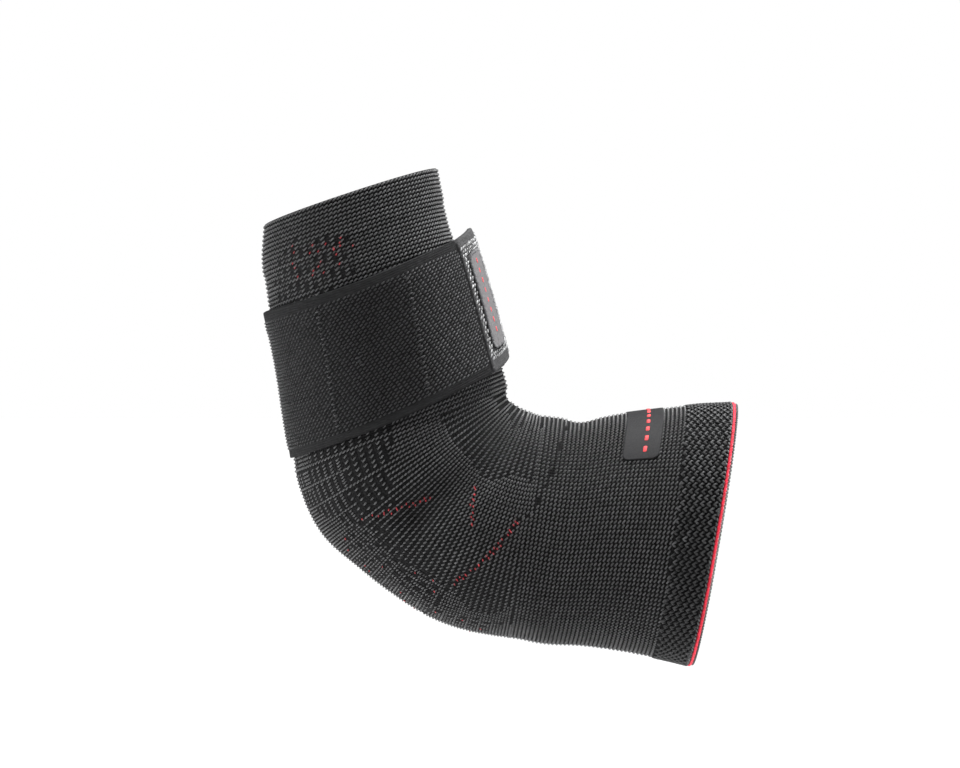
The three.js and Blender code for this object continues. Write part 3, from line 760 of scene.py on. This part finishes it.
def strap_webbing():
    rows = 200
    turned = np.linspace(0, STRAP_TURN, rows)[:, None]
    edge = np.array([0, 0.08, 0.2, 0.4, 0.6])
    at = np.concatenate([edge, np.linspace(1.2, STRAP_WIDTH - 1.2, 60), STRAP_WIDTH - edge[::-1]])[None]
    upper = strap_point(turned, at, strap_thickness(at))
    lower = strap_point(turned, at, 0.0 * at)
    vertices = np.concatenate([upper, lower]).reshape(-1, 3)
    faces = facing_out(vertices, sheet_faces(rows, at.shape[1]))
    u, v = np.broadcast_arrays(turned / STRAP_TURN, at / STRAP_WIDTH * 0.5)
    uvs = np.concatenate([np.stack([u, v], axis=-1), np.stack([u, v + 0.5], axis=-1)]).reshape(-1, 2)
    return make_piece("strap_webbing", vertices, faces, strap_ground, uvs=uvs)


strap = strap_webbing()
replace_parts(strap, "strap_band")

STRAP_GIRTH = 232.0
STRAP_PER_DEGREE = STRAP_GIRTH / 360
PILE_START = 34.0


def strap_beads(name, at, turned, path, radius, sides, shade):
    """Short tubes on the strap, along path: rows of across, round and up in millimetres."""
    number = len(at)
    centres = np.tile(np.array(path)[None], (number, 1, 1))
    centres[..., 2] += random.normal(0, 0.05, (number, 1))

    def mapping(local):
        cross = at[:, None, None] + local[..., 0]
        ring = turned[:, None, None] - local[..., 1] / STRAP_PER_DEGREE
        height = strap_thickness(cross) + local[..., 2]
        return strap_point(ring, cross, height), np.stack([ring / STRAP_TURN, cross / STRAP_WIDTH], axis=-1)

    vertices, faces, flat = tubes(centres, np.array(radius), sides, mapping, flat=0.9)
    shade = np.repeat(np.clip(shade, 0, 1), len(path) * sides)
    return make_piece(name, vertices, faces, strap_loops, flat, shade)


def strap_pile():
    """Slanted loops between the selvedges, bolder at the strap's end."""
    step_round, step_across = 1.75, 1.3
    places, rounds = [], []
    rows = np.arange(SELVEDGE_WIDTH - 0.4, STRAP_WIDTH - SELVEDGE_WIDTH + 1.4, step_across)
    for row, at in enumerate(rows):
        ring = np.arange(PILE_START, STRAP_TURN - 3.0, step_round / STRAP_PER_DEGREE)
        ring = ring + (row % 3) * step_round / STRAP_PER_DEGREE / 3
        places.append(np.full(len(ring), at))
        rounds.append(ring)
    at, turned = np.concatenate(places), np.concatenate(rounds)
    at = at + random.normal(0, 0.08, len(at))
    turned = turned + random.normal(0, 0.1, len(at)) / STRAP_PER_DEGREE
    landing = smoothstep(turned, STRAP_TURN - 36, STRAP_TURN - 26)
    shade = random.normal(0.14, 0.09, len(at)) + landing * random.normal(0.36, 0.42, len(at))
    path = [(-0.42, -0.72, -0.28), (-0.2, -0.34, 0.2), (0.2, 0.34, 0.2), (0.42, 0.72, -0.28)]
    return strap_beads("strap_pile", at, turned, path, (0.18, 0.33, 0.33, 0.18), 3, shade)


def strap_turned(angle):
    return STRAP_START - angle


def strap_seams():
    """Two sewn lines across the strap and a short bent one between them."""
    at, turned = [], []
    for angle in (116.4, 66.2):
        run = np.arange(SELVEDGE_WIDTH + 1.5, STRAP_WIDTH - SELVEDGE_WIDTH - 1, 2.2)
        at.append(run)
        turned.append(np.full(len(run), strap_turned(angle)))
    bent = np.linspace(-1, 1, 4)
    at.append(STRAP_WIDTH / 2 + 0.6 + 2.4 * bent)
    turned.append(strap_turned(99.5) + 2.2 * bent ** 2)
    at, turned = np.concatenate(at), np.concatenate(turned)
    path = [(0.0, -0.85, 0.1), (0.0, -0.5, 0.62), (0.0, 0.5, 0.62), (0.0, 0.85, 0.1)]
    return strap_beads("strap_seams", at, turned % 360, path, (0.16, 0.24, 0.24, 0.16), 5,
                       random.normal(0.5, 0.1, len(at)))


strap_pile()
strap_seams()

# Tab: the stiff end of the strap, with its pile, its overlocked edge and the badge on it
TAB_UNDER = LAYER_GAP + LAP_HEIGHT + TAB_HOOKS


def strap_end(at, height=0.0, further=0.0):
    return strap_place(strap_angle(STRAP_TURN, at) - further, at, height)


def strap_end_tangent(at):
    return unit(strap_end(at, TAB_UNDER, 1) - strap_end(at, TAB_UNDER, -1))


def tab_point(run, at, height):
    run, at, height = np.broadcast_arrays(*(np.asarray(v, float) for v in (run, at, height)))
    middle = strap_end_tangent(np.float64(STRAP_WIDTH / 2))
    along = unit(middle + (strap_end_tangent(at) - middle) * TAB_TWIST)
    down = unit(strap_end(np.float64(STRAP_WIDTH)) - strap_end(np.float64(0.0)))
    out = unit(np.cross(np.broadcast_to(down, along.shape), along))
    distance = (run + LAYER_GAP)[..., None]
    drop = distance ** 2 / (2 * TAB_CURL)
    return (strap_end(at, TAB_UNDER) + along * distance - down * TAB_RISE * run[..., None] / TAB_LENGTH
            + out * (height[..., None] - drop))


def rounded_plate(name, length, width, corner, thickness, point, material, rounding=0.3):
    """A plate with rounded corners and a rounded upper rim. point(run, across, height) places it."""
    near = corner * (1 - np.cos(np.linspace(0, np.pi / 2, 8)))
    runs = np.concatenate([near, np.linspace(corner, length - corner, 24)[1:-1], length - near[::-1]])
    from_corner = (corner - np.minimum(runs, length - runs)).clip(0) / corner
    back = corner * (1 - np.sqrt(np.clip(1 - from_corner ** 2, 0, 1)))
    half = width / 2 - back
    rim = np.array([1, 0.995, 0.985, 0.97])
    cross = np.concatenate([-rim, np.linspace(-0.94, 0.94, 30), rim[::-1]])
    across = half[:, None] * cross[None]
    edge = np.minimum(half[:, None] - np.abs(across), np.minimum(runs, length - runs)[:, None])
    rise = np.sqrt(np.clip(1 - (1 - np.clip(edge / rounding, 0, 1)) ** 2, 0, 1))
    upper = point(runs[:, None], across, thickness - rounding * (1 - rise))
    lower = point(runs[:, None], across, 0.0 * across)
    vertices = np.concatenate([upper, lower]).reshape(-1, 3)
    faces = facing_out(vertices, sheet_faces(len(runs), len(cross)))
    u = np.broadcast_to((runs / length)[:, None], across.shape)
    v = across / width * 0.5 + 0.25
    uvs = np.concatenate([np.stack([u, v], axis=-1), np.stack([u, v + 0.5], axis=-1)]).reshape(-1, 2)
    return make_piece(name, vertices, faces, material, uvs=uvs)


def plate_beads(name, spots, directions, length, radius, sides, height, point, material, shades,
                flat=0.9):
    """Short tubes on a plate: spots are run and across, directions their turn from the run in degrees."""
    turn = np.radians(directions)[:, None]
    share = np.array([-0.5, -0.3, 0.3, 0.5])[None] * length
    centres = np.stack([spots[:, :1] + share * np.cos(turn), spots[:, 1:] + share * np.sin(turn),
                        np.broadcast_to(np.array([-0.8, 0, 0, -0.8]) * radius + height,
                                        (len(spots), 4))], axis=-1)
    centres[..., 2] += random.normal(0, 0.04, (len(spots), 1))
    middle = spots.mean(0)

    def mapping(local):
        return point(local[..., 0], local[..., 1], local[..., 2]), (local[..., :2] - middle) / 80 + 0.5

    vertices, faces, places = tubes(centres, np.array([0.6, 1, 1, 0.6]) * radius, sides, mapping, flat)
    shade = np.repeat(np.clip(random.normal(*shades, len(spots)), 0, 1), 4 * sides)
    return make_piece(name, vertices, faces, material, places, shade)


def rim_spots(length, width, corner, step):
    """Places and outward directions round a rounded rectangle's border."""
    straight_x, straight_y, arc = length - 2 * corner, width - 2 * corner, corner * np.pi / 2
    total = 2 * (straight_x + straight_y) + 4 * arc
    spots, turns = [], []
    for distance in np.arange(0, total, step):
        for side, straight in enumerate((straight_x, straight_y, straight_x, straight_y)):
            if distance < straight + arc:
                break
            distance -= straight + arc
        half_x, half_y = straight_x / 2, straight_y / 2
        if side % 2:
            half_x, half_y = half_y, half_x
        bend = np.clip((distance - straight) / corner, 0, None)
        x = -half_x + min(distance, straight) + corner * math.sin(bend)
        y = -half_y - corner * math.cos(bend)
        spin = side * np.pi / 2
        spots.append((x * math.cos(spin) - y * math.sin(spin), x * math.sin(spin) + y * math.cos(spin)))
        turns.append(-90 + math.degrees(bend + spin))
    return np.array(spots), np.array(turns)


def on_tab(run, across, height):
    return tab_point(run, STRAP_WIDTH / 2 + across, height)


def on_tab_badge(run, across, height):
    return on_tab(TAB_BADGE["setback"] + run, across, TAB_THICKNESS - 0.1 + height)


tab = rounded_plate("tab_panel", TAB_LENGTH, STRAP_WIDTH, TAB_CORNER, TAB_THICKNESS - 0.35, on_tab,
                    tab_cloth, 0.8)
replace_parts(tab, "strap_tab")
plate = rounded_plate("tab_plate", TAB_BADGE["width"], TAB_BADGE["length"], BADGE_CORNER,
                      TAB_BADGE["thickness"] + 0.15, on_tab_badge, plate_grey)
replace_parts(plate, "tab_badge")


def tab_pile():
    run, across = np.meshgrid(np.arange(0.9, TAB_LENGTH - 0.8, 2.0),
                              np.arange(-STRAP_WIDTH / 2 + 4.6, STRAP_WIDTH / 2 - 4.6, 1.7))
    run = run + (np.arange(run.shape[0])[:, None] % 2)
    spots = np.stack([run.ravel(), across.ravel()], axis=-1)
    spots = spots[spots[:, 0] < TAB_LENGTH - 0.8]
    centre = TAB_BADGE["setback"] + TAB_BADGE["width"] / 2
    clear = ((np.abs(spots[:, 0] - centre) > TAB_BADGE["width"] / 2 + 0.5)
             | (np.abs(spots[:, 1]) > TAB_BADGE["length"] / 2 + 0.5))
    spots = spots[clear] + random.normal(0, 0.1, (clear.sum(), 2))
    return plate_beads("tab_pile", spots, random.normal(-48, 14, len(spots)), 1.9, 0.42, 4,
                       TAB_THICKNESS - 0.15, on_tab, tab_loops, (0.32, 0.3))


def tab_overlock():
    across = np.arange(-STRAP_WIDTH / 2 + TAB_CORNER + 0.6, STRAP_WIDTH / 2 - TAB_CORNER - 0.4, 1.9)
    spots = np.stack([np.full(len(across), TAB_LENGTH - 1.2), across], axis=-1)
    return plate_beads("tab_overlock", spots, np.full(len(across), -28.0), 2.8, 0.45, 5, TAB_THICKNESS - 0.15,
                       on_tab, tab_loops, (0.3, 0.25))


def badge_rim():
    spots, turns = rim_spots(TAB_BADGE["width"] - 0.5, TAB_BADGE["length"] - 0.5, BADGE_CORNER, 0.75)
    spots[:, 0] += TAB_BADGE["width"] / 2
    return plate_beads("tab_plate_rim", spots, turns + 14, 1.5, 0.33, 4, TAB_BADGE["thickness"] + 0.1,
                       on_tab_badge, rim_grey, (0.45, 0.25))


tab_pile()
tab_overlock()
badge_rim()

SLEEVE_PLATE_THICKNESS = 0.55


def on_sleeve_badge(run, across, height):
    angle = SLEEVE_BADGE["angle"] + (run - SLEEVE_BADGE["length"] / 2) / BADGE_PER_DEGREE
    return surface(BADGE_PLACE + across, angle, height)


badge = rounded_plate("sleeve_plate", SLEEVE_BADGE["length"], SLEEVE_BADGE["width"], BADGE_CORNER,
                      SLEEVE_PLATE_THICKNESS, on_sleeve_badge, plate_black)
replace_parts(badge, "sleeve_badge")


def dashes(name, first, last, step, across, length, radius, height, point):
    """A plain row of dashes, where the real one has its name."""
    run = np.arange(first, last, step)
    spots = np.stack([run, np.full(len(run), across)], axis=-1)
    return plate_beads(name, spots, np.zeros(len(run)), length, radius, 8, height, point, dash_red,
                       (0.5, 0.1), flat=0.3)


dashes("sleeve_plate_dashes", 5.0, 58.0, 5.6, 1.4, 3.6, 0.75, SLEEVE_PLATE_THICKNESS + 0.06, on_sleeve_badge)
TAB_DASH_ROW = TAB_BADGE["width"] * 0.45
dashes("tab_plate_dashes", -17.0, 17.0, 4.4, 0.0, 2.8, 0.4, TAB_BADGE["thickness"] + 0.2,
       lambda run, across, height: on_tab_badge(TAB_DASH_ROW + across, run, height))


# Floor, surroundings and light
def seen_brighter(tree, lit, seen):
    """A strength: seen where the camera meets it, lit where it only lights the object."""
    ray = tree.nodes.new("ShaderNodeLightPath").outputs["Is Camera Ray"]
    strength = tree.nodes.new("ShaderNodeMapRange")
    strength.inputs["To Min"].default_value = lit
    strength.inputs["To Max"].default_value = seen
    tree.links.new(ray, strength.inputs["Value"])
    return strength.outputs["Result"]


def floor():
    size, depth = 40.0, -0.35
    mesh = bpy.data.meshes.new("floor")
    mesh.from_pydata([(-size, -size, depth), (size, -size, depth), (size, size, depth), (-size, size, depth)],
                     [], [(0, 1, 2, 3)])
    material = bpy.data.materials.new("pale_floor")
    material.use_nodes = True
    shader = material.node_tree.nodes["Principled BSDF"]
    shader.inputs["Base Color"].default_value = (0.85, 0.85, 0.85, 1)
    shader.inputs["Roughness"].default_value = 0.9
    shader.inputs["Emission Color"].default_value = (1, 1, 1, 1)
    tree = material.node_tree
    tree.links.new(seen_brighter(tree, 0.12, 0.8), shader.inputs["Emission Strength"])
    mesh.materials.append(material)
    piece = bpy.data.objects.new("floor", mesh)
    bpy.context.scene.collection.objects.link(piece)


def soft_light(name, place, aim, size, power):
    data = bpy.data.lights.new(name, "AREA")
    data.shape = "RECTANGLE"
    data.size, data.size_y = size
    data.energy = power
    light = bpy.data.objects.new(name, data)
    light.location = place
    away = np.array(place) - np.array(aim)
    light.rotation_euler = (math.acos(away[2] / np.linalg.norm(away)), 0,
                            math.atan2(away[1], away[0]) + math.pi / 2)
    bpy.context.scene.collection.objects.link(light)


def surroundings():
    """White behind the object, dimmer as a light on it."""
    world = bpy.data.worlds.new("surroundings")
    world.use_nodes = True
    tree, background = world.node_tree, world.node_tree.nodes["Background"]
    background.inputs["Color"].default_value = (1, 1, 1, 1)
    tree.links.new(seen_brighter(tree, 0.35, 1.0), background.inputs["Strength"])
    bpy.context.scene.world = world


floor()
soft_light("key", (-0.35, -0.5, 1.05), (0.03, 0, 0.05), (0.35, 0.3), 14)
soft_light("top", (0.25, 0.1, 1.1), (0.05, 0, 0.05), (0.6, 0.4), 32)
soft_light("right", (1.1, -0.1, 0.35), (0.03, 0, 0.05), (0.3, 0.8), 21)
soft_light("left", (-1.1, -0.1, 0.15), (0.03, 0, 0.05), (0.3, 0.8), 21)
surroundings()
bpy.context.scene.view_settings.view_transform = "Standard"
